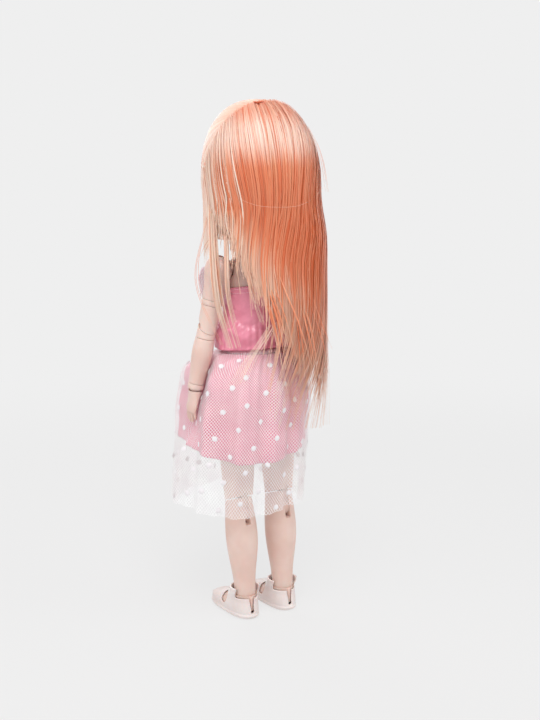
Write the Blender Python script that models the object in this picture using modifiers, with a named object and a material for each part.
"""Jointed fashion doll, 300 mm tall, in a satin party dress with a net overskirt.

Metres, +Z up. The doll stands on Z = 0 and looks along -Y, and its own left side is +X.
It is made of hollow vinyl and hard plastic pieces on ball and pin joints. Left limbs are
modelled, and the right ones are their mirror images. A hand points down at rest, so the
arm pieces are modelled in a frame whose origin is the shoulder and whose -Z runs down
the arm. Leg pieces use a frame at the hip.
"""

from math import acos, atan2, cos, degrees, exp, pi, radians, sin, sqrt

import bmesh
import bpy
from mathutils import Matrix, Vector

MM = 0.001

# Clearances and cutters
GAP = 0.3 * MM
OVERRUN = 3 * MM
MERGE = 0.01 * MM

# Faces round each kind of piece
BODY_SIDES = 16
LIMB_SIDES = 14
BALL_SIDES = 14
BALL_RINGS = 8
PIN_SIDES = 10
SKIRT_SIDES = 48
SHARP_DEGREES = 40

# Where the whole doll stands: the origin lies under the middle of its outline
STAND_X = -2.9 * MM
STAND_Y = 4.5 * MM

# Heights of the joints, each above the last
ANKLE_RISE = 16.5 * MM
SHIN_LENGTH = 45.5 * MM
THIGH_LENGTH = 66.0 * MM
HIP_TO_WAIST = 32.6 * MM
WAIST_TO_SHOULDER = 44.9 * MM
SHOULDER_TO_NECK = 7.5 * MM
NECK_LENGTH = 18.5 * MM

# Distances of the joints from the middle plane, and how far back each lies
HIP_APART = 14.0 * MM
KNEE_APART = 13.8 * MM
ANKLE_APART = 13.06 * MM
SHOULDER_APART = 26.2 * MM
HIP_BACK = 1.0 * MM
KNEE_BACK = 5.0 * MM
ANKLE_BACK = 10.4 * MM
WAIST_BACK = 2.0 * MM
SHOULDER_BACK = 4.6 * MM
NECK_BACK = 4.5 * MM
HEAD_BACK = 3.0 * MM

# Chest, from the waist cut to the base of the neck
CHEST_HEIGHT = 54.4 * MM
CHEST_HALF_WIDTH = 19.8 * MM
CHEST_HALF_DEPTH = 15.0 * MM
WAIST_GAP = 0.7 * MM
# height, half width, half depth, and shift back as a share of the half depth
CHEST_SHARES = (
    (0.00, 0.82, 0.83, 0.13),
    (0.17, 0.89, 0.90, 0.16),
    (0.39, 0.96, 1.00, 0.15),
    (0.57, 0.975, 1.00, 0.20),
    (0.72, 0.99, 0.90, 0.28),
    (0.85, 1.00, 0.77, 0.30),
    (0.925, 0.85, 0.63, 0.30),
    (0.97, 0.58, 0.53, 0.30),
    (1.00, 0.37, 0.51, 0.30),
)

# Pelvis, from the waist cut down to the crotch
PELVIS_HEIGHT = 41.0 * MM
HIP_HALF_WIDTH = 23.0 * MM
HIP_HALF_DEPTH = 16.0 * MM
CROTCH_HALF_WIDTH = 3.3 * MM
PELVIS_SHARES = (
    (-1.00, 0.45, 0.45, 0.02),
    (-0.88, 0.87, 0.84, 0.06),
    (-0.62, 1.00, 1.00, 0.10),
    (-0.30, 0.90, 0.94, 0.12),
    (0.00, 0.74, 0.79, 0.13),
)

# Waist ball, on a stem that is fixed in the pelvis
WAIST_BALL_RADIUS = 7.0 * MM
WAIST_BALL_RISE = 8.5 * MM
WAIST_STEM_RADIUS = 4.0 * MM
WAIST_STEM_DEPTH = 9.0 * MM

# Neck: a dumbbell between the chest's socket and the hollow head
NECK_BALL_RADIUS = 6.0 * MM
NECK_TOP_BALL_RADIUS = 6.3 * MM
NECK_NARROW_RADIUS = 4.6 * MM
NECK_RADIUS = 5.3 * MM
NECK_HOLE_RADIUS = 5.8 * MM
NECK_ROOM = 0.5 * MM

# Head
HEAD_HEIGHT = 72.0 * MM
HEAD_HALF_WIDTH = 26.5 * MM
HEAD_HALF_DEPTH = 28.0 * MM
HEAD_WALL = 2.4 * MM
HEAD_BASE_DROP = 9.5 * MM
HEAD_SHARES = (
    (0.00, 0.26, 0.30, -0.36),
    (0.08, 0.56, 0.62, -0.18),
    (0.20, 0.80, 0.83, -0.07),
    (0.35, 0.95, 0.95, -0.01),
    (0.50, 1.00, 1.00, 0.00),
    (0.65, 0.98, 1.00, 0.01),
    (0.80, 0.85, 0.90, 0.03),
    (0.91, 0.62, 0.68, 0.04),
    (0.98, 0.30, 0.34, 0.05),
    (1.00, 0.10, 0.12, 0.05),
)
EYE_RADIUS = 6.2 * MM
EYE_APART = 10.6 * MM
EYE_LEVEL_SHARE = 0.42
EYE_OPENING_RADIUS = 4.9 * MM
EYE_INSET = 0.5 * MM
LASH_THICKNESS = 0.6 * MM
LASH_REACH = 1.6 * MM
LASH_INSIDE = 0.8 * MM
LASH_STEPS = 8
LASH_DEGREES = (15, 165)

# Hair: rooted cap, fringe and hanging lengths
HAIR_TOP = 6.0 * MM
HAIR_DEPTH = 3.3 * MM
HAIR_BACK_EXTRA = 1.2 * MM
HAIR_ROOM = 0.5 * MM
NAPE_RISE = 27.0 * MM
HAIR_HANG = 131.0 * MM
HAIR_SHEET = 3.0 * MM
HAIR_NAPE_REACH = 26.5 * MM
HAIR_SIDE_CLEARANCE = 3.4 * MM
HAIR_COLUMNS = 16
FRINGE_DEPTH = 2.0 * MM
FRINGE_RISE_SHARES = (0.56, 0.85)
FRINGE_HALF_ANGLE = 40
FACE_HALF_WIDTH = 20.5 * MM
FACE_TOP_SHARE = 0.865
LOCK_HALF_WIDTH = 3.2 * MM
LOCK_HALF_DEPTH = 1.5 * MM
LOCK_CLEARANCE = 2.0 * MM
# share of the hair's length, and how far round each side the back hair reaches, in degrees
HAIR_SPREAD_SHARES = (
    (0.00, -96, 96),
    (0.10, -92, 94),
    (0.20, -70, 88),
    (0.30, -56, 82),
    (0.40, -36, 82),
    (0.53, -15, 80),
    (0.65, -2, 74),
    (0.78, 6, 62),
    (0.89, 20, 52),
    (1.00, 28, 44),
)

# Arm: distances down the arm from the shoulder's middle
SHOULDER_RADIUS = 8.2 * MM
SHOULDER_ROOM = 0.8 * MM
SHOULDER_BALL_RADIUS = 4.6 * MM
SHOULDER_PEG_RADIUS = 1.8 * MM
SHOULDER_PEG_LENGTH = 14.2 * MM
ARM_OUT = 8.5
ARM_FORWARD = 8.0
ARM_RAISE = 75.0
UPPER_ARM_RADIUS = 6.0 * MM
BICEP_RING_AT = 18.9 * MM
BICEP_RING_HALF = 1.6 * MM
SPINDLE_RADIUS = 2.4 * MM
SPINDLE_LENGTH = 4.5 * MM
ELBOW_AT = 34.2 * MM
ELBOW_RADIUS = 5.0 * MM
ELBOW_SLOPE = 5.2 * MM
ELBOW_PIN_FORWARD = 2.4 * MM
ELBOW_PIN_DROP = 1.3 * MM
ELBOW_PIN_RADIUS = 0.8 * MM
ELBOW_PIN_HALF = 3.0 * MM
ELBOW_SWING_ROOM = 3.45 * MM
ELBOW_TANG_HALF = 1.4 * MM
ELBOW_TANG_RADIUS = 1.7 * MM
ELBOW_TANG_RISE = 8.0 * MM
ELBOW_SEAM_AT = 39.9 * MM
ELBOW_PEG_RADIUS = 1.9 * MM
ELBOW_PEG_LENGTH = 7.0 * MM
FOREARM_RADIUS = 6.2 * MM
WRIST_AT = 68.5 * MM
WRIST_BALL_RADIUS = 4.1 * MM
WRIST_HALF_BAND = 1.7 * MM
WRIST_RADIUS = 4.6 * MM
WRIST_PEG_RADIUS = 1.7 * MM
WRIST_PEG_LENGTH = 9.0 * MM
HAND_TIP_AT = 90.8 * MM
HAND_HALF_WIDTH = 4.9 * MM
HAND_HALF_THICKNESS = 2.5 * MM
THUMB_RADIUS = 1.3 * MM
THUMB_TIP_RADIUS = 0.9 * MM
# share of the way from the shoulder to the bicep seam, and the radius there
UPPER_ARM_SHARES = ((0.40, 0.88), (0.68, 0.79), (1.00, 0.74))
FOREARM_SHARES = ((0.00, 0.90), (0.30, 1.00), (0.62, 0.90), (0.85, 0.78), (1.00, 0.73))
HAND_SHARES = (
    (0.00, 0.94, 1.84),
    (0.14, 0.90, 1.46),
    (0.38, 1.00, 1.00),
    (0.60, 0.92, 0.88),
    (0.85, 0.80, 0.66),
    (1.00, 0.42, 0.44),
)

# Leg
THIGH_RADIUS = 10.4 * MM
HIP_DOME_RADIUS = 9.8 * MM
HIP_BALL_RADIUS = 6.0 * MM
HIP_PEG_RADIUS = 2.2 * MM
HIP_PEG_CLEAR = 0.6 * MM
HIP_SWING_FORWARD = 80.0
HIP_SWING_BACK = 12.0
HIP_SPREAD = 32.0
KNEE_HALF_WIDTH = 8.0 * MM
KNEE_HALF_DEPTH = 8.6 * MM
KNEE_PIN_BEHIND = 4.4 * MM
KNEE_PIN_RADIUS = 1.1 * MM
KNEE_PIN_HALF = 5.4 * MM
KNEE_PIN_DROP = 5.5 * MM
KNEE_SEAM = 1.0 * MM
KNEE_BACK_NOTCH = 1.3 * MM
KNEE_SWING_ROOM = 7.4 * MM
TANG_HALF_THICKNESS = 1.6 * MM
TANG_FRONT = 4.5 * MM
TANG_BACK = 2.9 * MM
TANG_END_RADIUS = 4.3 * MM
TANG_RISE = 16.0 * MM
CALF_SLOT_DROP = 5.2 * MM
TANG_HOLE_RADIUS = 0.5 * MM
TANG_HOLE_RISE = 13.5 * MM
CALF_HALF_WIDTH = 9.5 * MM
ANKLE_RADIUS = 6.4 * MM
ANKLE_BALL_RADIUS = 5.5 * MM
ANKLE_HALF_BAND = 1.5 * MM
ANKLE_PEG_RADIUS = 2.2 * MM
ANKLE_PEG_LENGTH = 9.0 * MM
# share of the way from the knee to the hip, and the half width and half depth there
THIGH_SHARES = ((0.20, 0.88, 0.92), (0.50, 0.98, 1.02), (0.70, 1.00, 1.04), (0.86, 0.98, 1.00))
# share of the way from the knee seam to the ankle, with half width, half depth and shift back
CALF_SHARES = (
    (0.15, 0.91, 0.96, 0.03),
    (0.35, 1.00, 1.03, 0.06),
    (0.55, 0.94, 0.97, 0.04),
    (0.76, 0.79, 0.81, 0.00),
    (0.92, 0.69, 0.71, 0.00),
)

# Foot and shoe
SHOE_HALF_LENGTH = 21.3 * MM
SHOE_HALF_WIDTH = 8.8 * MM
SHOE_MIDDLE_BACK = -1.25 * MM
SOLE_THICKNESS = 3.0 * MM
SHOE_WALL = 1.2 * MM
SHOE_COLLAR_RISE = 1.8 * MM
SHOE_COLLAR_RADIUS = 7.9 * MM
SHOE_STRAP_HALF = 2.2 * MM
SHOE_SLIT_HALF = 0.45 * MM
ARCH_HEIGHT = 0.8 * MM
CUTOUT_BOTTOM = 7.2 * MM
# height as a share of the ankle's rim, with the half length, half width and shift of the foot
FOOT_SHARES = (
    (0.00, 0.88, 0.80, 0.00),
    (0.30, 0.86, 0.80, 0.01),
    (0.52, 0.70, 0.77, 0.16),
    (0.74, 0.48, 0.74, 0.37),
)

# Dress
BODICE_WALL = 0.8 * MM
BODICE_SIDE_SHARE = 0.62
BODICE_BACK_SHARE = 0.655
BODICE_FRONT_SHARE = 0.80
BODICE_ROOM = 0.5 * MM
PLACKET_HALF_WIDTH = 3.5 * MM
PLACKET_WALL = 0.6 * MM
RUFFLE_WALL = 0.8 * MM
RUFFLE_REACH = 13.0 * MM
RUFFLE_HEIGHT = 17.0 * MM
RUFFLE_HALF_ANGLE = 62
# how far out and how far down the lace curls, from its seam to its free edge
RUFFLE_SHARES = ((0.10, 0.24), (0.45, 0.02), (0.86, 0.14), (1.00, 0.48), (0.90, 1.00))
WAISTBAND_HEIGHT = 2.8 * MM
WAISTBAND_WALL = 2.0 * MM
SATIN_WALL = 0.6 * MM
SATIN_LENGTH = 58.0 * MM
TULLE_WALL = 0.5 * MM
TULLE_LENGTH = 91.0 * MM
TULLE_HALF_WIDTH = 41.0 * MM
TULLE_HALF_DEPTH = 38.0 * MM
LAYER_ROOM = 1.1 * MM
HEM_LEFT = 4.5 * MM
HEM_FORWARD = 6.75 * MM
FOLD_DEPTH = 1.8 * MM
FOLD_COUNT = 11
SKIRT_FLARE = 0.32
ARM_HOLLOW_ROOM = 1.3 * MM
ARM_HOLLOW_DEGREES = 15.0
HEM_WAVE = 1.6 * MM

# Levels and places that follow from the sizes above
KNEE_PIN_LEVEL = ANKLE_RISE + SHIN_LENGTH
HIP_LEVEL = KNEE_PIN_LEVEL + THIGH_LENGTH
WAIST_LEVEL = HIP_LEVEL + HIP_TO_WAIST
SHOULDER_LEVEL = WAIST_LEVEL + WAIST_TO_SHOULDER
NECK_LEVEL = SHOULDER_LEVEL + SHOULDER_TO_NECK
HEAD_JOINT_LEVEL = NECK_LEVEL + NECK_LENGTH
HEAD_BASE = HEAD_JOINT_LEVEL - HEAD_BASE_DROP
ELBOW_PIN_Y = -ELBOW_PIN_FORWARD
SHOE_INSIDE = SOLE_THICKNESS + GAP

SKIN = ("skin", (0.86, 0.70, 0.63), 0.5)
SKIN_JOINT = ("skin_joint", (0.82, 0.62, 0.54), 0.45)
EYE = ("eye", (0.25, 0.42, 0.60), 0.1)
LASH = ("lash", (0.06, 0.04, 0.04), 0.6)
HAIR = ("hair", (0.90, 0.46, 0.28), 0.35)
SATIN = ("satin", (0.90, 0.42, 0.55), 0.3)
LACE = ("lace", (0.92, 0.80, 0.84), 0.8)
TULLE = ("tulle", (0.95, 0.93, 0.94), 0.9)
SHOE = ("shoe", (0.87, 0.80, 0.78), 0.4)


def clear_scene():
    for old in list(bpy.data.objects):
        bpy.data.objects.remove(old, do_unlink=True)


def new_collection(name):
    collection = bpy.data.collections.new(name)
    bpy.context.scene.collection.children.link(collection)
    return collection


def material(finish):
    """The Principled material of a finish, made once."""
    name, colour, roughness = finish
    found = bpy.data.materials.get(name)
    if found:
        return found
    made = bpy.data.materials.new(name)
    made.use_nodes = True
    shader = made.node_tree.nodes["Principled BSDF"]
    shader.inputs["Base Color"].default_value = (*colour, 1.0)
    shader.inputs["Roughness"].default_value = roughness
    shader.inputs["Metallic"].default_value = 0.0
    made.diffuse_color = (*colour, 1.0)
    return made


def pivot(name, parent, place, turn=(0.0, 0.0, 0.0)):
    """An empty on a joint's axis, placed in its parent's frame."""
    empty = bpy.data.objects.new(name, None)
    empty.empty_display_size = OVERRUN
    empty.parent = parent
    empty.location = place
    empty.rotation_euler = turn
    doll.objects.link(empty)
    return empty


def way_down(frame, parent):
    """How far a joint's empty lies from the frame that a piece is modelled in."""
    total = Vector()
    while parent != frame:
        total += parent.location
        parent = parent.parent
    return total


def closed_mesh(name, shape):
    """A mesh from a bmesh, with its faces turned outwards."""
    bmesh.ops.recalc_face_normals(shape, faces=shape.faces)
    mesh = bpy.data.meshes.new(name)
    shape.to_mesh(mesh)
    shape.free()
    return mesh


def solid(name, shape, finish, parent, frame):
    """Turn a bmesh, given in a frame's coordinates, into a piece that hangs on its joint."""
    mesh = closed_mesh(name, shape)
    mesh.shade_smooth()
    mesh.set_sharp_from_angle(angle=radians(SHARP_DEGREES))
    return piece(name, mesh, finish, parent, frame)


def turned(name, profile, finish, parent, sides=BALL_SIDES):
    """A piece turned about Z. Its profile is (radius, height) points from the bottom up."""
    points = [(radius, 0, height) for radius, height in reversed(profile)]
    edges = [(start, start + 1) for start in range(len(points) - 1)]
    mesh = bpy.data.meshes.new(name)
    mesh.from_pydata(points, edges, [])
    made = piece(name, mesh, finish, parent, parent)
    lathe = made.modifiers.new("lathe", "SCREW")
    lathe.axis = "Z"
    lathe.steps = sides
    lathe.render_steps = sides
    lathe.use_merge_vertices = True
    lathe.merge_threshold = MERGE
    return made


def piece(name, mesh, finish, parent, frame):
    """An object that hangs on its joint, from a mesh in a frame's coordinates."""
    mesh.materials.append(material(finish))
    made = bpy.data.objects.new(name, mesh)
    made.parent = parent
    made.location = -way_down(frame, parent)
    doll.objects.link(made)
    return made


def cutter(name, shape, parent):
    """Turn a bmesh into a hidden tool for Booleans."""
    tool = bpy.data.objects.new(name, closed_mesh(name, shape))
    tool.parent = parent
    tool.hide_render = True
    tool.display_type = "WIRE"
    cutters.objects.link(tool)
    return tool


def carve(target, label, shape, operation="DIFFERENCE"):
    """Cut a shape, given in the frame that a piece is modelled in, out of it, or join it on."""
    tool = cutter(f"{target.name}_{label}", shape, target.parent)
    tool.location = target.location
    step = target.modifiers.new(label, "BOOLEAN")
    step.operation = operation
    step.solver = "EXACT"
    step.object = tool


def oval(x, y, z, half_width, half_depth, sides=BODY_SIDES, turn=0.0):
    """A level ring of points, anticlockwise from above."""
    ring = []
    for step in range(sides):
        angle = 2 * pi * step / sides
        along = half_width * cos(angle)
        across = half_depth * sin(angle)
        ring.append(
            Vector(
                (
                    x + along * cos(turn) - across * sin(turn),
                    y + along * sin(turn) + across * cos(turn),
                    z,
                )
            )
        )
    return ring


def loft(rings, capped=True):
    """Skin a row of rings with as many points each, lowest first."""
    shape = bmesh.new()
    rows = [[shape.verts.new(point) for point in ring] for ring in rings]
    for low, high in zip(rows, rows[1:]):
        for here in range(len(low)):
            after = (here + 1) % len(low)
            shape.faces.new((low[here], low[after], high[after], high[here]))
    if capped:
        shape.faces.new(rows[0][::-1])
        shape.faces.new(rows[-1])
    return shape


def sheet(place, rows, columns):
    """An open surface whose points come from place(row share, column share)."""
    shape = bmesh.new()
    grid = [
        [shape.verts.new(place(row / rows, column / columns)) for column in range(columns + 1)]
        for row in range(rows + 1)
    ]
    for upper, lower in zip(grid, grid[1:]):
        for column in range(columns):
            after = column + 1
            shape.faces.new((upper[column], lower[column], lower[after], upper[after]))
    return shape


def thicken(target, wall):
    """Give an open surface a wall, half to each side."""
    skin = target.modifiers.new("wall", "SOLIDIFY")
    skin.thickness = wall
    skin.offset = 0.0
    skin.use_even_offset = True


def ball(x, y, z, radius, sides=BALL_SIDES, rings=BALL_RINGS):
    shape = bmesh.new()
    bmesh.ops.create_uvsphere(
        shape,
        u_segments=sides,
        v_segments=rings,
        radius=radius,
        matrix=Matrix.Translation((x, y, z)),
    )
    return shape


def rod(start, end, radius, sides=PIN_SIDES, end_radius=None):
    """A straight round bar, or a cone when end_radius is given."""
    start = Vector(start)
    way = Vector(end) - start
    turn = Vector((0, 0, 1)).rotation_difference(way).to_matrix().to_4x4()
    shape = bmesh.new()
    bmesh.ops.create_cone(
        shape,
        cap_ends=True,
        segments=sides,
        radius1=radius,
        radius2=radius if end_radius is None else end_radius,
        depth=way.length,
        matrix=Matrix.Translation(start + way / 2) @ turn,
    )
    return shape


def block(low, high):
    low = Vector(low)
    high = Vector(high)
    shape = bmesh.new()
    bmesh.ops.create_cube(
        shape,
        size=1.0,
        matrix=Matrix.Translation((low + high) / 2) @ Matrix.Diagonal((*(high - low), 1.0)),
    )
    return shape


def prism(outline, low_x, high_x):
    """An outline of (y, z) points carried along X."""
    return loft([[Vector((x, y, z)) for y, z in outline] for x in (low_x, high_x)])


def arc(radius, middle, start, end, steps):
    """Profile points on a circle about (0, middle), angles in degrees up from the equator."""
    points = []
    for step in range(steps + 1):
        angle = radians(start + (end - start) * step / steps)
        points.append((radius * cos(angle), middle + radius * sin(angle)))
    return points


def between(table, share):
    """Read a table of shares at any place along its first column."""
    for low, high in zip(table, table[1:]):
        if share <= high[0]:
            part = max(0.0, (share - low[0]) / (high[0] - low[0]))
            return [a + (b - a) * part for a, b in zip(low, high)][1:]
    return list(table[-1][1:])


def smooth(value):
    value = min(1.0, max(0.0, value))
    return value * value * (3 - 2 * value)


def chest_section(share, grow=0.0):
    width, depth, back = between(CHEST_SHARES, share)
    level = WAIST_LEVEL + WAIST_GAP / 2 + share * CHEST_HEIGHT
    return (
        back * CHEST_HALF_DEPTH,
        level,
        width * CHEST_HALF_WIDTH + grow,
        depth * CHEST_HALF_DEPTH + grow,
    )


def chest_ring(share, grow=0.0):
    back, level, width, depth = chest_section(share, grow)
    return oval(0, back, level, width, depth)


def head_section(share, grow=0.0):
    width, depth, shift = between(HEAD_SHARES, share)
    return (
        HEAD_BACK + shift * HEAD_HALF_DEPTH,
        HEAD_BASE + share * HEAD_HEIGHT,
        width * HEAD_HALF_WIDTH + grow,
        depth * HEAD_HALF_DEPTH + grow,
    )


def head_ring(share, grow=0.0):
    back, level, width, depth = head_section(share, grow)
    return oval(0, back, level, width, depth)


def pelvis_section(share, grow=0.0):
    width, depth, back = between(PELVIS_SHARES, share)
    return (
        back * HIP_HALF_DEPTH,
        WAIST_LEVEL - WAIST_GAP / 2 + share * PELVIS_HEIGHT,
        width * HIP_HALF_WIDTH + grow,
        depth * HIP_HALF_DEPTH + grow,
    )


def leg_sweep_outline():
    """The side outline that a thigh sweeps from its swing back to its swing forward."""
    reach = THIGH_RADIUS * max(row[2] for row in THIGH_SHARES) + GAP
    far = HIP_TO_WAIST + PELVIS_HEIGHT
    back = radians(HIP_SWING_BACK)
    front = radians(HIP_SWING_FORWARD)
    steps = 8
    points = []
    for step in range(steps + 1):
        angle = back + (pi - front - back) * step / steps
        points.append((HIP_BACK + reach * cos(angle), HIP_LEVEL + reach * sin(angle)))
    first = points[0]
    last = points[-1]
    points.append((last[0] - far * sin(front), last[1] - far * cos(front)))
    points.append((HIP_BACK - far, HIP_LEVEL - far))
    points.append((first[0] + far * sin(back), first[1] - far * cos(back)))
    return points


def build_pelvis(parent):
    rings = []
    for row in PELVIS_SHARES:
        back, level, width, depth = pelvis_section(row[0])
        rings.append(oval(0, back, level, width, depth))
    pelvis = solid("pelvis", loft(rings), SKIN, parent, doll_root)
    reach = HIP_HALF_WIDTH + OVERRUN
    outline = leg_sweep_outline()
    carve(pelvis, "left_leg_room", prism(outline, CROTCH_HALF_WIDTH, reach))
    carve(pelvis, "right_leg_room", prism(outline, -reach, -CROTCH_HALF_WIDTH))
    side = CROTCH_HALF_WIDTH + OVERRUN
    ends = ((-side, HIP_BACK, HIP_LEVEL), (side, HIP_BACK, HIP_LEVEL))
    carve(pelvis, "hip_bore", rod(*ends, HIP_PEG_RADIUS + GAP))
    floor = WAIST_LEVEL - WAIST_GAP / 2 - WAIST_STEM_DEPTH
    ends = ((0, WAIST_BACK, floor - GAP), (0, WAIST_BACK, WAIST_LEVEL + OVERRUN))
    carve(pelvis, "stem_bore", rod(*ends, WAIST_STEM_RADIUS + GAP, BALL_SIDES))


def ball_on_stem(name, stem_radius, stem_length, ball_radius, parent, place, turn=(0, 0, 0)):
    """A ball at a joint's middle, with a stem that runs down until it is turned."""
    meet = degrees(acos(stem_radius / ball_radius))
    profile = [(0.0, -stem_length), (stem_radius, -stem_length)]
    profile += arc(ball_radius, 0.0, -meet, 90, BALL_RINGS - 1)
    made = turned(name, profile, SKIN_JOINT, parent)
    made.location = place
    made.rotation_euler = turn
    return made


def build_chest(parent):
    rings = [chest_ring(row[0]) for row in CHEST_SHARES]
    chest = solid("chest", loft(rings), SKIN, parent, doll_root)
    middle = WAIST_LEVEL + WAIST_BALL_RISE
    carve(chest, "waist_socket", ball(0, WAIST_BACK, middle, WAIST_BALL_RADIUS + GAP))
    ends = ((0, WAIST_BACK, WAIST_LEVEL - OVERRUN), (0, WAIST_BACK, middle))
    carve(chest, "stem_room", rod(*ends, WAIST_STEM_RADIUS + GAP, BALL_SIDES))
    carve(chest, "neck_socket", ball(0, NECK_BACK, NECK_LEVEL, NECK_BALL_RADIUS + GAP))
    for side, label in ((1, "left"), (-1, "right")):
        place = (side * SHOULDER_APART, SHOULDER_BACK, SHOULDER_LEVEL)
        room = ball(*place, SHOULDER_RADIUS + SHOULDER_ROOM, BODY_SIDES)
        carve(chest, f"{label}_shoulder_room", room)
        inner = (side * (SHOULDER_APART - SHOULDER_PEG_LENGTH - GAP), *place[1:])
        carve(chest, f"{label}_peg_bore", rod(inner, place, SHOULDER_PEG_RADIUS + GAP))


def build_neck(parent):
    low = degrees(acos(NECK_NARROW_RADIUS / NECK_BALL_RADIUS))
    high = degrees(acos(NECK_RADIUS / NECK_TOP_BALL_RADIUS))
    profile = arc(NECK_BALL_RADIUS, 0.0, -90, low, 5)
    profile.append((NECK_RADIUS, NECK_LENGTH / 2))
    profile += arc(NECK_TOP_BALL_RADIUS, NECK_LENGTH, -high, 90, 5)
    turned("neck", profile, SKIN, parent)


def eye_frame():
    """A frame on the face's surface at the left eye, whose -Y points out of the face."""
    back, level, width, depth = head_section(EYE_LEVEL_SHARE)
    slope = sqrt(1 - (EYE_APART / width) ** 2)
    turn = atan2(EYE_APART / width**2, slope / depth)
    place = Matrix.Translation((EYE_APART, back - depth * slope, level))
    return place @ Matrix.Rotation(turn, 4, "Z")


def build_head(parent):
    shell = solid("head_shell", loft([head_ring(row[0]) for row in HEAD_SHARES]), SKIN, parent, doll_root)
    hollow = [head_ring(share, -HEAD_WALL) for share in (0.115, 0.20, 0.35, 0.50, 0.65, 0.80, 0.91, 0.955)]
    carve(shell, "hollow", loft(hollow))
    ends = ((0, NECK_BACK, HEAD_BASE - OVERRUN), (0, NECK_BACK, HEAD_JOINT_LEVEL))
    carve(shell, "neck_hole", rod(*ends, NECK_HOLE_RADIUS, BALL_SIDES))
    socket = ball(0, NECK_BACK, HEAD_JOINT_LEVEL, NECK_TOP_BALL_RADIUS + NECK_ROOM)
    carve(shell, "neck_socket", socket)
    frame = eye_frame()
    middle = frame @ Vector((0, EYE_INSET + EYE_RADIUS, 0))
    outside = frame @ Vector((0, -OVERRUN, 0))
    for side, label in ((1, "left"), (-1, "right")):
        flip = Matrix.Scale(side, 4, (1, 0, 0))
        carve(shell, f"{label}_eye_room", ball(*(flip @ middle), EYE_RADIUS + GAP))
        bar = rod(flip @ outside, flip @ middle, EYE_OPENING_RADIUS, BALL_SIDES)
        carve(shell, f"{label}_eye_opening", bar)
    eye = solid("left_eye", ball(*middle, EYE_RADIUS), EYE, parent, doll_root)
    lash = solid("left_eyelash", eyelash(frame), LASH, parent, doll_root)
    return [eye, lash]


def eyelash(frame):
    """A strip bent over the upper half of the eye's opening."""
    rings = []
    outer = EYE_OPENING_RADIUS - GAP
    inner = outer - LASH_THICKNESS
    for step in range(LASH_STEPS + 1):
        angle = radians(LASH_DEGREES[0] + (LASH_DEGREES[1] - LASH_DEGREES[0]) * step / LASH_STEPS)
        corners = ((inner, -LASH_REACH), (outer, -LASH_REACH), (outer, LASH_INSIDE), (inner, LASH_INSIDE))
        rings.append([frame @ Vector((r * cos(angle), y, r * sin(angle))) for r, y in corners])
    return loft(rings)


def cap_ring(share):
    back, level, width, depth = head_section(share, HAIR_DEPTH)
    lift = HAIR_TOP * smooth((share - 0.5) / 0.5)
    return oval(0, back + HAIR_BACK_EXTRA / 2, level + lift, width, depth + HAIR_BACK_EXTRA / 2)


def build_hair(parent):
    low_share = NAPE_RISE / HEAD_HEIGHT
    shares = (low_share, 0.50, 0.65, 0.80, 0.91, 0.98, 1.00)
    cap = solid("hair_cap", loft([cap_ring(share) for share in shares]), HAIR, parent, doll_root)
    scalp = []
    for row in HEAD_SHARES:
        back, level, width, depth = head_section(row[0], GAP)
        scalp.append(oval(0, back, level + GAP, width, depth))
    carve(cap, "scalp", loft(scalp))
    front = HEAD_BACK - HEAD_HALF_DEPTH - HAIR_DEPTH - OVERRUN
    top = HEAD_BASE + FACE_TOP_SHARE * HEAD_HEIGHT
    window = block((-FACE_HALF_WIDTH, front, HEAD_BASE), (FACE_HALF_WIDTH, HEAD_BACK, top))
    carve(cap, "face", window)

    fringe = solid("hair_fringe", sheet(fringe_point, 6, 10), HAIR, parent, doll_root)
    thicken(fringe, FRINGE_DEPTH)
    back = solid("hair_back", sheet(back_hair_point, 12, HAIR_COLUMNS), HAIR, parent, doll_root)
    thicken(back, HAIR_SHEET)
    side = solid("left_hair_side", sheet(side_hair_point, 4, 4), HAIR, parent, doll_root)
    thicken(side, HAIR_SHEET)
    solid("left_shoulder_lock", shoulder_lock(), HAIR, parent, doll_root)
    return [side]


def fringe_point(row, column):
    low, high = FRINGE_RISE_SHARES
    back, level, width, depth = head_section(high + (low - high) * row, HAIR_ROOM + FRINGE_DEPTH / 2)
    angle = radians(FRINGE_HALF_ANGLE * (2 * column - 1))
    return Vector((width * sin(angle), back - depth * cos(angle), level))


def hair_radius(angle, level):
    """Distance of the hanging hair from the head's axis. Angles run from the back to the right."""
    width = HEAD_HALF_WIDTH + HAIR_DEPTH / 2
    depth = HEAD_HALF_DEPTH + (HAIR_DEPTH + HAIR_BACK_EXTRA) / 2
    at_head = 1 / sqrt((sin(angle) / width) ** 2 + (cos(angle) / depth) ** 2)
    side = SHOULDER_APART + SHOULDER_RADIUS + HAIR_SIDE_CLEARANCE
    turn = smooth((degrees(angle) + 10) / 50)
    low = HAIR_NAPE_REACH + (side - HAIR_NAPE_REACH) * turn
    fall = smooth((HEAD_BASE + NAPE_RISE - level) / NAPE_RISE)
    return at_head + (low - at_head) * fall


def back_hair_point(row, column):
    level = HEAD_BASE + NAPE_RISE - GAP - row * HAIR_HANG
    left, right = between(HAIR_SPREAD_SHARES, row)
    angle = radians(left + (right - left) * column)
    reach = hair_radius(angle, level)
    return Vector((-reach * sin(angle), HEAD_BACK + reach * cos(angle), level))


def side_hair_point(row, column):
    """Hair in front of the ear, which ends above the shoulder."""
    top = HEAD_BASE + NAPE_RISE - GAP
    level = top - row * (top - SHOULDER_LEVEL - SHOULDER_RADIUS)
    angle = radians(-102 - 26 * column)
    reach = HEAD_HALF_WIDTH + HAIR_DEPTH / 2
    return Vector((-reach * sin(angle), HEAD_BACK + reach * cos(angle), level))


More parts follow.
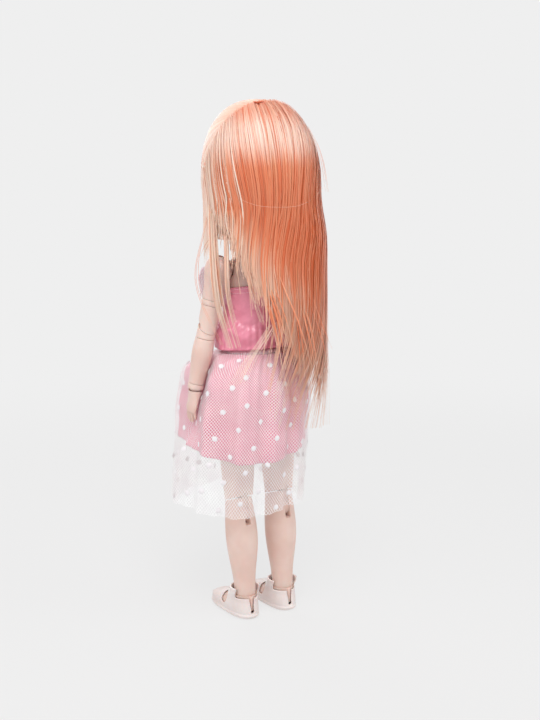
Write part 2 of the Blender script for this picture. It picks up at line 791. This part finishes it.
def shoulder_lock():
    """A thin lock that falls behind the left shoulder to the waist."""
    beside = HEAD_HALF_WIDTH + HAIR_DEPTH + LOCK_HALF_DEPTH + HAIR_ROOM
    behind = SHOULDER_BACK + SHOULDER_RADIUS + LOCK_CLEARANCE + LOCK_HALF_DEPTH
    top = HEAD_BASE + NAPE_RISE
    route = (
        (beside, HEAD_BACK, top - LOCK_HALF_WIDTH, 0.5),
        (beside, HEAD_BACK + LOCK_HALF_WIDTH, HEAD_BASE + LOCK_HALF_WIDTH, 0.9),
        (SHOULDER_APART + LOCK_HALF_WIDTH, behind, SHOULDER_LEVEL, 1.0),
        (SHOULDER_APART, behind, SHOULDER_LEVEL - BICEP_RING_AT, 0.9),
        (SHOULDER_APART - LOCK_HALF_WIDTH, behind + LOCK_HALF_DEPTH, SHOULDER_LEVEL - ELBOW_AT, 0.7),
        (CHEST_HALF_WIDTH, behind + LOCK_CLEARANCE, WAIST_LEVEL + LOCK_HALF_WIDTH, 0.3),
    )
    rings = []
    for x, y, level, share in reversed(route):
        size = (LOCK_HALF_WIDTH * share, LOCK_HALF_DEPTH * share)
        rings.append(oval(x, y, level, *size, PIN_SIDES, radians(35)))
    return loft(rings)


def dome(radius, steps=4, top_degrees=78):
    """Rings of a ball's upper half about the origin, from its equator."""
    rings = []
    for step in range(steps + 1):
        angle = radians(top_degrees * step / steps)
        size = radius * cos(angle)
        rings.append(oval(0, 0, radius * sin(angle), size, size, LIMB_SIDES))
    return rings


def peg_slot(half_width, start_degrees, end_degrees, reach):
    """Room for a peg that points to -X, as the limb on its ball is raised."""
    first = radians(start_degrees)
    last = radians(end_degrees)
    outline = [(-half_width * sin(first), -half_width * cos(first))]
    steps = 4
    for step in range(steps + 1):
        angle = first + (last - first) * step / steps
        middle = (-reach * cos(angle), reach * sin(angle))
        if step == 0:
            outline.append((middle[0] + outline[0][0], middle[1] + outline[0][1]))
        outline.append(middle)
    beyond = (half_width * sin(last), half_width * cos(last))
    outline.append((outline[-1][0] + beyond[0], outline[-1][1] + beyond[1]))
    outline.append(beyond)
    return loft([[Vector((x, y, z)) for x, z in outline] for y in (-half_width, half_width)])


def elbow_line(y):
    """Height of the slanted elbow seam, high in front and low behind, in the arm's frame."""
    return -ELBOW_AT - ELBOW_SLOPE / 2 * y / ELBOW_RADIUS


def elbow_side(offset, far):
    """Everything on one side of the elbow's seam, as a side outline."""
    wide = FOREARM_RADIUS + OVERRUN
    return [
        (-wide, elbow_line(-wide) + offset),
        (wide, elbow_line(wide) + offset),
        (wide, far),
        (-wide, far),
    ]


def round_at(at, radius):
    return oval(0, 0, -at, radius, radius, LIMB_SIDES)


def build_left_arm():
    swing = bpy.data.objects["left_shoulder_pivot"]
    arm = bpy.data.objects["left_arm_pivot"]
    twist = bpy.data.objects["left_bicep_pivot"]
    elbow = bpy.data.objects["left_elbow_pivot"]
    turn = bpy.data.objects["left_wrist_pivot"]
    bend = bpy.data.objects["left_hand_pivot"]

    shoulder = ball_on_stem(
        "left_shoulder_ball",
        SHOULDER_PEG_RADIUS,
        SHOULDER_PEG_LENGTH,
        SHOULDER_BALL_RADIUS,
        swing,
        (0, 0, 0),
        (0, pi / 2, 0),
    )
    seam = BICEP_RING_AT - BICEP_RING_HALF - GAP
    rings = [round_at(share * seam, SHOULDER_RADIUS * size) for share, size in reversed(UPPER_ARM_SHARES)]
    upper = solid("left_upper_arm", loft(rings + dome(SHOULDER_RADIUS)), SKIN, arm, arm)
    carve(upper, "socket", ball(0, 0, 0, SHOULDER_BALL_RADIUS + GAP))
    half = SHOULDER_PEG_RADIUS + GAP
    slot = peg_slot(half, ARM_OUT, ARM_OUT + ARM_RAISE, SHOULDER_RADIUS + OVERRUN)
    carve(upper, "peg_slot", slot)
    ends = ((0, 0, -seam - OVERRUN), (0, 0, -seam + SPINDLE_LENGTH + GAP))
    carve(upper, "spindle_bore", rod(*ends, SPINDLE_RADIUS + GAP))

    long = BICEP_RING_HALF + SPINDLE_LENGTH
    wide = SHOULDER_RADIUS * UPPER_ARM_SHARES[-1][1]
    profile = [(0, -long), (SPINDLE_RADIUS, -long), (SPINDLE_RADIUS, -BICEP_RING_HALF)]
    profile += [(wide, -BICEP_RING_HALF), (wide, BICEP_RING_HALF)]
    profile += [(SPINDLE_RADIUS, BICEP_RING_HALF), (SPINDLE_RADIUS, long), (0, long)]
    ring = turned("left_bicep_ring", profile, SKIN_JOINT, twist)

    top = BICEP_RING_AT + BICEP_RING_HALF + GAP
    rings = [
        round_at(ELBOW_SEAM_AT, ELBOW_RADIUS),
        round_at(ELBOW_AT, ELBOW_RADIUS * 1.04),
        round_at((top + ELBOW_AT) / 2, (UPPER_ARM_RADIUS + ELBOW_RADIUS) / 2 + GAP),
        round_at(top, UPPER_ARM_RADIUS),
    ]
    sleeve = solid("left_arm_sleeve", loft(rings), SKIN, twist, arm)
    wide = FOREARM_RADIUS + OVERRUN
    far = ELBOW_SEAM_AT + OVERRUN
    carve(sleeve, "elbow_end", prism(elbow_side(GAP / 2, -far), -wide, wide))
    pin = (ELBOW_PIN_Y, elbow_line(ELBOW_PIN_Y) - ELBOW_PIN_DROP)
    axis = ((-wide, *pin), (wide, *pin))
    carve(sleeve, "elbow_room", rod(*axis, ELBOW_SWING_ROOM, BALL_SIDES))
    side = ELBOW_TANG_HALF + GAP
    edge = ELBOW_TANG_RADIUS + GAP
    low = (-side, pin[0] - edge, pin[1] - edge)
    pocket = block(low, (side, pin[0] + edge, pin[1] + ELBOW_TANG_RISE + GAP))
    carve(sleeve, "tang_pocket", pocket)
    ends = ((0, 0, -top + OVERRUN), (0, 0, -top - SPINDLE_LENGTH - GAP))
    carve(sleeve, "spindle_bore", rod(*ends, SPINDLE_RADIUS + GAP))

    tang = solid("left_elbow_tang", tang_plate(pin, "elbow"), SKIN_JOINT, twist, arm)
    ends = ((-side - OVERRUN, *pin), (side + OVERRUN, *pin))
    carve(tang, "pin_hole", rod(*ends, ELBOW_PIN_RADIUS + GAP))
    ends = ((-ELBOW_PIN_HALF, *pin), (ELBOW_PIN_HALF, *pin))
    elbow_pin = solid("left_elbow_pin", rod(*ends, ELBOW_PIN_RADIUS), SKIN_JOINT, elbow, arm)

    seam = ELBOW_SEAM_AT - GAP / 2
    peg_end = ELBOW_SEAM_AT + ELBOW_PEG_LENGTH
    rings = [
        round_at(peg_end, ELBOW_PEG_RADIUS),
        round_at(seam, ELBOW_PEG_RADIUS),
        round_at(seam, FOREARM_RADIUS * FOREARM_SHARES[0][1]),
        round_at((seam + ELBOW_AT) / 2, ELBOW_RADIUS * 1.04),
        round_at(ELBOW_AT - ELBOW_SLOPE, ELBOW_RADIUS),
    ]
    joint = solid("left_elbow", loft(rings), SKIN, elbow, arm)
    carve(joint, "elbow_end", prism(elbow_side(-GAP / 2, -top), -wide, wide))
    slot = block((-side, -wide, pin[1] - edge), (side, pin[0] + edge, -top))
    carve(joint, "tang_slot", slot)
    reach = ELBOW_PIN_HALF + GAP
    carve(joint, "pin_bore", rod((-reach, *pin), (reach, *pin), ELBOW_PIN_RADIUS + GAP))

    start = ELBOW_SEAM_AT + GAP / 2
    end = WRIST_AT - WRIST_HALF_BAND
    rings = []
    for share, size in reversed(FOREARM_SHARES):
        rings.append(round_at(start + share * (end - start), FOREARM_RADIUS * size))
    forearm = solid("left_forearm", loft(rings), SKIN, elbow, arm)
    ends = ((0, 0, -start + OVERRUN), (0, 0, -peg_end - GAP))
    carve(forearm, "elbow_bore", rod(*ends, ELBOW_PEG_RADIUS + GAP))
    carve(forearm, "wrist_cup", ball(0, 0, -WRIST_AT, WRIST_BALL_RADIUS + GAP))
    ends = ((0, 0, -WRIST_AT), (0, 0, -WRIST_AT + WRIST_PEG_LENGTH + GAP))
    carve(forearm, "wrist_bore", rod(*ends, WRIST_PEG_RADIUS + GAP))
    wrist = ball_on_stem(
        "left_wrist_ball",
        WRIST_PEG_RADIUS,
        WRIST_PEG_LENGTH,
        WRIST_BALL_RADIUS,
        turn,
        (0, 0, 0),
        (pi, 0, 0),
    )

    start = WRIST_AT + WRIST_HALF_BAND
    rings = []
    for share, width, thickness in reversed(HAND_SHARES):
        at = start + share * (HAND_TIP_AT - start)
        size = (HAND_HALF_THICKNESS * thickness, HAND_HALF_WIDTH * width)
        rings.append(oval(0, 0, -at, *size, LIMB_SIDES))
    hand = solid("left_hand", loft(rings), SKIN, bend, arm)
    carve(hand, "wrist_cup", ball(0, 0, -WRIST_AT, WRIST_BALL_RADIUS + GAP))
    root = (0, -HAND_HALF_WIDTH * 0.6, -(start + (HAND_TIP_AT - start) * 0.25))
    tip = (0, -HAND_HALF_WIDTH * 1.3, -(start + (HAND_TIP_AT - start) * 0.62))
    thumb = rod(root, tip, THUMB_RADIUS, PIN_SIDES, THUMB_TIP_RADIUS)
    carve(hand, "thumb", thumb, "UNION")
    return [shoulder, upper, ring, sleeve, tang, elbow_pin, joint, forearm, wrist, hand]


def tang_plate(pin, where):
    """A hinge plate that is round about its pin and straight above it."""
    y, z = pin
    steps = 8
    if where == "elbow":
        half, front, back, end, rise = (
            ELBOW_TANG_HALF,
            ELBOW_TANG_RADIUS,
            ELBOW_TANG_RADIUS,
            ELBOW_TANG_RADIUS,
            ELBOW_TANG_RISE,
        )
    else:
        half, front, back, end, rise = (
            TANG_HALF_THICKNESS,
            TANG_FRONT,
            TANG_BACK,
            TANG_END_RADIUS,
            TANG_RISE,
        )
    first = -pi - (0 if front >= end else acos(front / end))
    last = acos(back / end) if back < end else 0.0
    outline = []
    for step in range(steps + 1):
        angle = first + (last - first) * step / steps
        outline.append((y + end * cos(angle), z + end * sin(angle)))
    outline += [(y + back, z + rise), (y - front, z + rise)]
    if front > end:
        outline.append((y - front, z))
    return prism(outline, -half, half)


def leg_line(level):
    """The middle of the left leg at a level, in the doll's frame."""
    knee = KNEE_PIN_LEVEL + KNEE_PIN_DROP
    rows = (
        (ANKLE_RISE, ANKLE_APART, ANKLE_BACK),
        (knee, KNEE_APART, KNEE_BACK),
        (HIP_LEVEL, HIP_APART, HIP_BACK),
    )
    return between(rows, level)


def leg_ring(level, half_width, half_depth, shift=0.0):
    """A level ring of the left leg, in the hip's frame."""
    x, y = leg_line(level)
    place = (x - HIP_APART, y - HIP_BACK + shift, level - HIP_LEVEL)
    return oval(*place, half_width, half_depth, LIMB_SIDES)


def build_left_leg():
    swing = bpy.data.objects["left_hip_pivot"]
    spread = bpy.data.objects["left_thigh_pivot"]
    knee = bpy.data.objects["left_knee_pivot"]
    ankle = bpy.data.objects["left_ankle_pivot"]

    hip = ball_on_stem(
        "left_hip_ball",
        HIP_PEG_RADIUS,
        HIP_APART - HIP_PEG_CLEAR,
        HIP_BALL_RADIUS,
        swing,
        (0, 0, 0),
        (0, pi / 2, 0),
    )
    seam = KNEE_PIN_LEVEL + KNEE_PIN_DROP + KNEE_SEAM
    rings = [leg_ring(seam, KNEE_HALF_WIDTH, KNEE_HALF_DEPTH)]
    for share, width, depth in THIGH_SHARES:
        level = seam + share * (HIP_LEVEL - seam)
        rings.append(leg_ring(level, THIGH_RADIUS * width, THIGH_RADIUS * depth))
    thigh = solid("left_thigh", loft(rings + dome(HIP_DOME_RADIUS)), SKIN, spread, swing)
    carve(thigh, "socket", ball(0, 0, 0, HIP_BALL_RADIUS + GAP))
    half = HIP_PEG_RADIUS + GAP
    carve(thigh, "peg_slot", peg_slot(half, 0, HIP_SPREAD, THIGH_RADIUS + OVERRUN))
    x = KNEE_APART - HIP_APART
    pin = (KNEE_BACK + KNEE_PIN_BEHIND - HIP_BACK, KNEE_PIN_LEVEL - HIP_LEVEL)
    wide = KNEE_HALF_WIDTH + OVERRUN
    top = pin[1] + KNEE_PIN_DROP + KNEE_SEAM
    notch = [
        (pin[0] - KNEE_PIN_BEHIND, top - OVERRUN),
        (pin[0] + KNEE_HALF_DEPTH, top - OVERRUN),
        (pin[0] + KNEE_HALF_DEPTH, top + 2 * KNEE_BACK_NOTCH),
        (pin[0] - KNEE_PIN_BEHIND, top),
    ]
    carve(thigh, "back_notch", prism(notch, -wide, wide))
    carve(thigh, "knee_room", rod((-wide, *pin), (wide, *pin), KNEE_SWING_ROOM, BALL_SIDES))
    side = TANG_HALF_THICKNESS + GAP
    low = (x - side, pin[0] - TANG_FRONT - GAP, pin[1])
    high = (x + side, pin[0] + TANG_BACK + GAP, pin[1] + TANG_RISE + GAP)
    carve(thigh, "tang_pocket", block(low, high))
    hole = pin[1] + TANG_HOLE_RISE
    ends = ((x, pin[0], hole), (x, pin[0] + KNEE_HALF_DEPTH, hole))
    carve(thigh, "back_hole", rod(*ends, TANG_HOLE_RADIUS))

    plate = tang_plate(pin, "knee")
    bmesh.ops.translate(plate, vec=(x, 0, 0), verts=plate.verts)
    tang = solid("left_knee_tang", plate, SKIN_JOINT, spread, swing)
    reach = KNEE_PIN_HALF + OVERRUN
    carve(tang, "pin_hole", rod((x - reach, *pin), (x + reach, *pin), KNEE_PIN_RADIUS + GAP))
    half = KNEE_PIN_HALF
    bar = rod((x - half, *pin), (x + half, *pin), KNEE_PIN_RADIUS)
    knee_pin = solid("left_knee_pin", bar, SKIN_JOINT, knee, swing)

    start = KNEE_PIN_LEVEL + KNEE_PIN_DROP
    end = ANKLE_RISE + ANKLE_HALF_BAND
    rings = [leg_ring(end, ANKLE_RADIUS, ANKLE_RADIUS)]
    for share, width, depth, shift in reversed(CALF_SHARES):
        size = (CALF_HALF_WIDTH * width, CALF_HALF_WIDTH * depth)
        rings.append(leg_ring(start + share * (end - start), *size, CALF_HALF_WIDTH * shift))
    rings.append(leg_ring(start, KNEE_HALF_WIDTH, KNEE_HALF_DEPTH))
    shin = solid("left_shin", loft(rings), SKIN, knee, swing)
    low = (x - side, pin[0] - TANG_FRONT - GAP, pin[1] - CALF_SLOT_DROP)
    high = (x + side, pin[0] + KNEE_HALF_DEPTH, pin[1] + KNEE_PIN_DROP + OVERRUN)
    carve(shin, "tang_slot", block(low, high))
    half = KNEE_PIN_HALF + GAP
    carve(shin, "pin_bore", rod((x - half, *pin), (x + half, *pin), KNEE_PIN_RADIUS + GAP))
    middle = (ANKLE_APART - HIP_APART, ANKLE_BACK - HIP_BACK, ANKLE_RISE - HIP_LEVEL)
    carve(shin, "ankle_cup", ball(*middle, ANKLE_BALL_RADIUS + GAP))

    ankle_ball = ball_on_stem(
        "left_ankle_ball",
        ANKLE_PEG_RADIUS,
        ANKLE_PEG_LENGTH,
        ANKLE_BALL_RADIUS,
        ankle,
        (0, 0, 0),
    )
    foot = solid("left_foot", loft(foot_rings()), SKIN, ankle, ankle)
    carve(foot, "ankle_cup", ball(0, 0, 0, ANKLE_BALL_RADIUS + GAP))
    ends = ((0, 0, 0), (0, 0, -ANKLE_PEG_LENGTH - GAP))
    carve(foot, "ankle_bore", rod(*ends, ANKLE_PEG_RADIUS + GAP))
    return [hip, thigh, tang, knee_pin, shin, ankle_ball, foot, build_left_shoe(ankle)]


def rounded(x, y, z, half_width, half_depth, power=2.8, sides=BODY_SIDES):
    """A level ring with fuller corners than an oval, for soles."""
    ring = []
    for step in range(sides):
        angle = 2 * pi * step / sides
        along, across = cos(angle), sin(angle)
        size = (abs(along) ** power + abs(across) ** power) ** (-1 / power)
        ring.append(Vector((x + half_width * along * size, y + half_depth * across * size, z)))
    return ring


def foot_rings(grow=0.0):
    """Rings of the foot in the ankle's frame, from its sole to its rim."""
    low = SHOE_INSIDE - ANKLE_RISE
    high = -ANKLE_HALF_BAND
    rings = []
    for share, length, width, shift in FOOT_SHARES:
        y = SHOE_MIDDLE_BACK - ANKLE_BACK + shift * SHOE_HALF_LENGTH
        size = (width * SHOE_HALF_WIDTH + grow, length * SHOE_HALF_LENGTH + grow)
        lift = grow if share else 0.0
        rings.append(rounded(0, y, low + share * (high - low) + lift, *size))
    rings.append(oval(0, 0, high + grow, ANKLE_RADIUS + grow, ANKLE_RADIUS + grow))
    return rings


def build_left_shoe(ankle):
    floor = -ANKLE_RISE
    middle = SHOE_MIDDLE_BACK - ANKLE_BACK
    collar = SHOE_COLLAR_RISE
    rim = SHOE_COLLAR_RADIUS
    size = (SHOE_HALF_WIDTH, SHOE_HALF_LENGTH)
    rings = [
        rounded(0, middle, floor, size[0] - SHOE_WALL / 2, size[1] - SHOE_WALL / 2),
        rounded(0, middle, floor + SOLE_THICKNESS / 2, *size),
        rounded(0, middle, floor + SOLE_THICKNESS, *size),
    ]
    rings += foot_rings(GAP + SHOE_WALL)[1:-1]
    for level in (-ANKLE_HALF_BAND, collar):
        rings.append(oval(0, 0, level, rim + SHOE_WALL, rim + SHOE_WALL))
    shoe = solid("left_shoe", loft(rings), SHOE, ankle, ankle)
    side = SHOE_HALF_WIDTH + OVERRUN
    arch = [
        (-ANKLE_BACK - SHOE_WALL, floor - OVERRUN),
        (-ANKLE_BACK - SHOE_WALL, floor),
        (-ANKLE_BACK + ARCH_HEIGHT, floor + ARCH_HEIGHT),
        (-ANKLE_RADIUS + ARCH_HEIGHT, floor + ARCH_HEIGHT),
        (-ANKLE_RADIUS + 3 * ARCH_HEIGHT, floor),
        (-ANKLE_RADIUS + 3 * ARCH_HEIGHT, floor - OVERRUN),
    ]
    carve(shoe, "arch", prism(arch, -side, side))
    inside = foot_rings(GAP)
    for point in inside[0]:
        point.z = floor + SOLE_THICKNESS
    carve(shoe, "foot_room", loft(inside))
    ends = ((0, 0, -2 * ANKLE_HALF_BAND - GAP), (0, 0, collar + OVERRUN))
    carve(shoe, "collar_room", rod(*ends, rim, BODY_SIDES))
    low = floor + CUTOUT_BOTTOM
    high = -2 * ANKLE_HALF_BAND
    front = -ANKLE_BACK - SHOE_COLLAR_RADIUS
    back = -ANKLE_RADIUS + SHOE_WALL
    for label, start, end in (("outer", SHOE_STRAP_HALF, side), ("inner", -side, -SHOE_STRAP_HALF)):
        carve(shoe, f"{label}_cutout", block((start, front, low), (end, back, high)))
    slit = block(
        (-SHOE_SLIT_HALF, 0, floor + SOLE_THICKNESS + SHOE_WALL),
        (SHOE_SLIT_HALF, SHOE_HALF_LENGTH, collar + OVERRUN),
    )
    carve(shoe, "heel_slit", slit)
    return shoe


def tube(place, rows, sides):
    """An open tube whose points come from place(row share, angle), lowest row first."""
    rings = []
    for row in range(rows + 1):
        rings.append([place(row / rows, 2 * pi * side / sides) for side in range(sides)])
    return loft(rings, capped=False)


def bodice_point(row, angle):
    front = smooth(-sin(angle))
    back = smooth(sin(angle))
    top = BODICE_SIDE_SHARE
    top += front * (BODICE_FRONT_SHARE - BODICE_SIDE_SHARE)
    top += back * (BODICE_BACK_SHARE - BODICE_SIDE_SHARE)
    shift, level, width, depth = chest_section(row * top, BODICE_ROOM + BODICE_WALL / 2)
    return Vector((width * cos(angle), shift + depth * sin(angle), level))


def placket_point(row, column):
    """The overlap that closes the bodice down the middle of the back."""
    share = BODICE_BACK_SHARE * (1 - row)
    grow = BODICE_ROOM + BODICE_WALL + GAP + PLACKET_WALL / 2
    shift, level, width, depth = chest_section(share, grow)
    x = PLACKET_HALF_WIDTH * (2 * column - 1)
    return Vector((-x, shift + depth * sqrt(1 - (x / width) ** 2), level))


def ruffle_point(row, column):
    """Lace that curls out from the bodice's top edge, round the front of the chest."""
    place = row * (len(RUFFLE_SHARES) - 1)
    first = min(int(place), len(RUFFLE_SHARES) - 2)
    part = place - first
    out, down = (
        a + (b - a) * part for a, b in zip(RUFFLE_SHARES[first], RUFFLE_SHARES[first + 1])
    )
    grow = BODICE_ROOM + BODICE_WALL + RUFFLE_REACH * out
    shift, level, width, depth = chest_section(BODICE_FRONT_SHARE, grow)
    angle = radians(RUFFLE_HALF_ANGLE * (2 * column - 1))
    level += RUFFLE_HEIGHT * (0.2 - down)
    return Vector((width * sin(angle), shift - depth * cos(angle), level))


def arm_at(level):
    """Where the left arm's middle is at a level, and how thick the arm is there."""
    out = radians(ARM_OUT)
    forward = radians(ARM_FORWARD)
    along = (SHOULDER_LEVEL - level) / (cos(out) * cos(forward))
    x = SHOULDER_APART + along * sin(out)
    y = SHOULDER_BACK - along * cos(out) * sin(forward)
    share = smooth((along - ELBOW_SEAM_AT) / (WRIST_AT - ELBOW_SEAM_AT))
    size = FOREARM_RADIUS + (WRIST_RADIUS - FOREARM_RADIUS) * share
    share = smooth((along - WRIST_AT) / (HAND_TIP_AT - WRIST_AT) * 2)
    return x, y, size + (HAND_HALF_THICKNESS - size) * share


def skirt_point(level, angle, inset):
    """A point of the skirt's layers. The hem leans to the left and forward."""
    top = WAIST_LEVEL - WAIST_GAP / 2 - WAISTBAND_HEIGHT - GAP
    share = min(1.0, max(0.0, (top - level) / TULLE_LENGTH))
    shift = sqrt(share)
    middle = Vector((HEM_LEFT * shift, WAIST_BACK - (HEM_FORWARD + WAIST_BACK) * shift, 0))
    _, _, width, depth = pelvis_section(-(WAISTBAND_HEIGHT + GAP) / PELVIS_HEIGHT)
    room = BODICE_ROOM + SATIN_WALL + LAYER_ROOM + TULLE_WALL
    flare = share**SKIRT_FLARE
    across = width + room + (TULLE_HALF_WIDTH - width - room) * flare
    along = depth + room + (TULLE_HALF_DEPTH - depth - room) * flare
    fold = FOLD_DEPTH * flare * cos(FOLD_COUNT * angle + pi / 3)
    tips = SHOULDER_LEVEL - HAND_TIP_AT
    fade = 1 - smooth((tips - level) / (HAND_TIP_AT - WRIST_AT))
    reach = 1 / sqrt((cos(angle) / across) ** 2 + (sin(angle) / along) ** 2)
    arm_x, arm_y, thickness = arm_at(level)
    for side in (1, -1):
        gap = Vector((side * arm_x, arm_y, 0)) - middle
        apart = (degrees(angle - atan2(gap.y, gap.x)) + 180) % 360 - 180
        near = exp(-((apart / ARM_HOLLOW_DEGREES) ** 2)) * fade
        limit = gap.length - thickness - ARM_HOLLOW_ROOM
        fold *= 1 - near
        reach -= max(0.0, reach - limit) * near
    reach += fold - inset
    return Vector((middle.x + reach * cos(angle), middle.y + reach * sin(angle), level))


def tulle_point(row, angle):
    top = WAIST_LEVEL - WAIST_GAP / 2 - WAISTBAND_HEIGHT - GAP
    fall = (1 - row) ** 1.3
    hem = fall**4 * HEM_WAVE * cos(3 * angle)
    return skirt_point(top - fall * TULLE_LENGTH, angle, 0.0) + Vector((0, 0, hem))


def satin_point(row, angle):
    top = WAIST_LEVEL - WAIST_GAP / 2 - WAISTBAND_HEIGHT - GAP
    inset = LAYER_ROOM + (SATIN_WALL + TULLE_WALL) / 2
    return skirt_point(top - (1 - row) ** 1.3 * SATIN_LENGTH, angle, inset)


def band_point(row, angle):
    share = (row - 1) * WAISTBAND_HEIGHT / PELVIS_HEIGHT
    shift, level, width, depth = pelvis_section(share, BODICE_ROOM + WAISTBAND_WALL / 2)
    return Vector((width * cos(angle), shift + depth * sin(angle), level))


def build_dress(chest_pivot):
    bodice = solid("bodice", tube(bodice_point, 8, BODY_SIDES), SATIN, chest_pivot, doll_root)
    thicken(bodice, BODICE_WALL)
    placket = solid("back_placket", sheet(placket_point, 6, 2), SATIN, chest_pivot, doll_root)
    thicken(placket, PLACKET_WALL)
    ruffle = solid("lace_ruffle", sheet(ruffle_point, 4, 14), LACE, chest_pivot, doll_root)
    thicken(ruffle, RUFFLE_WALL)
    band = solid("waistband", tube(band_point, 1, BODY_SIDES), SATIN, doll_root, doll_root)
    thicken(band, WAISTBAND_WALL)
    satin = solid("satin_skirt", tube(satin_point, 5, SKIRT_SIDES), SATIN, doll_root, doll_root)
    thicken(satin, SATIN_WALL)
    tulle = solid("tulle_overskirt", tube(tulle_point, 7, SKIRT_SIDES), TULLE, doll_root, doll_root)
    thicken(tulle, TULLE_WALL)


def build_limb_pivots(side, chest_pivot):
    """The joint empties of one side's arm and leg."""
    label = "left" if side > 0 else "right"
    place = (
        side * SHOULDER_APART,
        SHOULDER_BACK - WAIST_BACK,
        SHOULDER_LEVEL - WAIST_LEVEL,
    )
    lean = (-radians(ARM_FORWARD), 0, 0)
    swing = pivot(f"{label}_shoulder_pivot", chest_pivot, place, lean)
    arm = pivot(f"{label}_arm_pivot", swing, (0, 0, 0), (0, -side * radians(ARM_OUT), 0))
    twist = pivot(f"{label}_bicep_pivot", arm, (0, 0, -BICEP_RING_AT))
    pin = elbow_line(ELBOW_PIN_Y) - ELBOW_PIN_DROP
    elbow = pivot(f"{label}_elbow_pivot", twist, (0, ELBOW_PIN_Y, pin + BICEP_RING_AT))
    turn = pivot(f"{label}_wrist_pivot", elbow, (0, -ELBOW_PIN_Y, -WRIST_AT - pin))
    pivot(f"{label}_hand_pivot", turn, (0, 0, 0))

    hip = pivot(f"{label}_hip_pivot", doll_root, (side * HIP_APART, HIP_BACK, HIP_LEVEL))
    spread = pivot(f"{label}_thigh_pivot", hip, (0, 0, 0))
    shift = (
        side * (KNEE_APART - HIP_APART),
        KNEE_BACK + KNEE_PIN_BEHIND - HIP_BACK,
        -THIGH_LENGTH,
    )
    knee = pivot(f"{label}_knee_pivot", spread, shift)
    shift = (
        side * (ANKLE_APART - KNEE_APART),
        ANKLE_BACK - KNEE_BACK - KNEE_PIN_BEHIND,
        -SHIN_LENGTH,
    )
    pivot(f"{label}_ankle_pivot", knee, shift)


def mirror_piece(original):
    """The right-hand copy of a left-hand piece."""
    graph = bpy.context.evaluated_depsgraph_get()
    mesh = bpy.data.meshes.new_from_object(original.evaluated_get(graph))
    mesh.transform(Matrix.Scale(-1, 4, (1, 0, 0)) @ original.matrix_basis)
    mesh.flip_normals()
    mesh.name = original.name.replace("left", "right")
    made = bpy.data.objects.new(mesh.name, mesh)
    made.parent = bpy.data.objects[original.parent.name.replace("left", "right")]
    doll.objects.link(made)


def main():
    waist = pivot("waist_pivot", doll_root, (0, WAIST_BACK, WAIST_LEVEL))
    place = (0, NECK_BACK - WAIST_BACK, NECK_LEVEL - WAIST_LEVEL)
    neck = pivot("neck_pivot", waist, place)
    head = pivot("head_pivot", neck, (0, 0, NECK_LENGTH))
    for side in (1, -1):
        build_limb_pivots(side, waist)
    build_pelvis(doll_root)
    ball_on_stem(
        "waist_ball",
        WAIST_STEM_RADIUS,
        WAIST_BALL_RISE + WAIST_GAP / 2 + WAIST_STEM_DEPTH,
        WAIST_BALL_RADIUS,
        doll_root,
        (0, WAIST_BACK, WAIST_LEVEL + WAIST_BALL_RISE),
    )
    build_chest(waist)
    build_neck(neck)
    left = build_head(head)
    left += build_hair(head)
    build_dress(waist)
    left += build_left_arm()
    left += build_left_leg()
    bpy.context.view_layer.update()
    for piece in left:
        mirror_piece(piece)


clear_scene()
doll = new_collection("fashion_doll")
cutters = new_collection("cutters")
doll_root = pivot("doll_root", None, (STAND_X, STAND_Y, 0))
main()
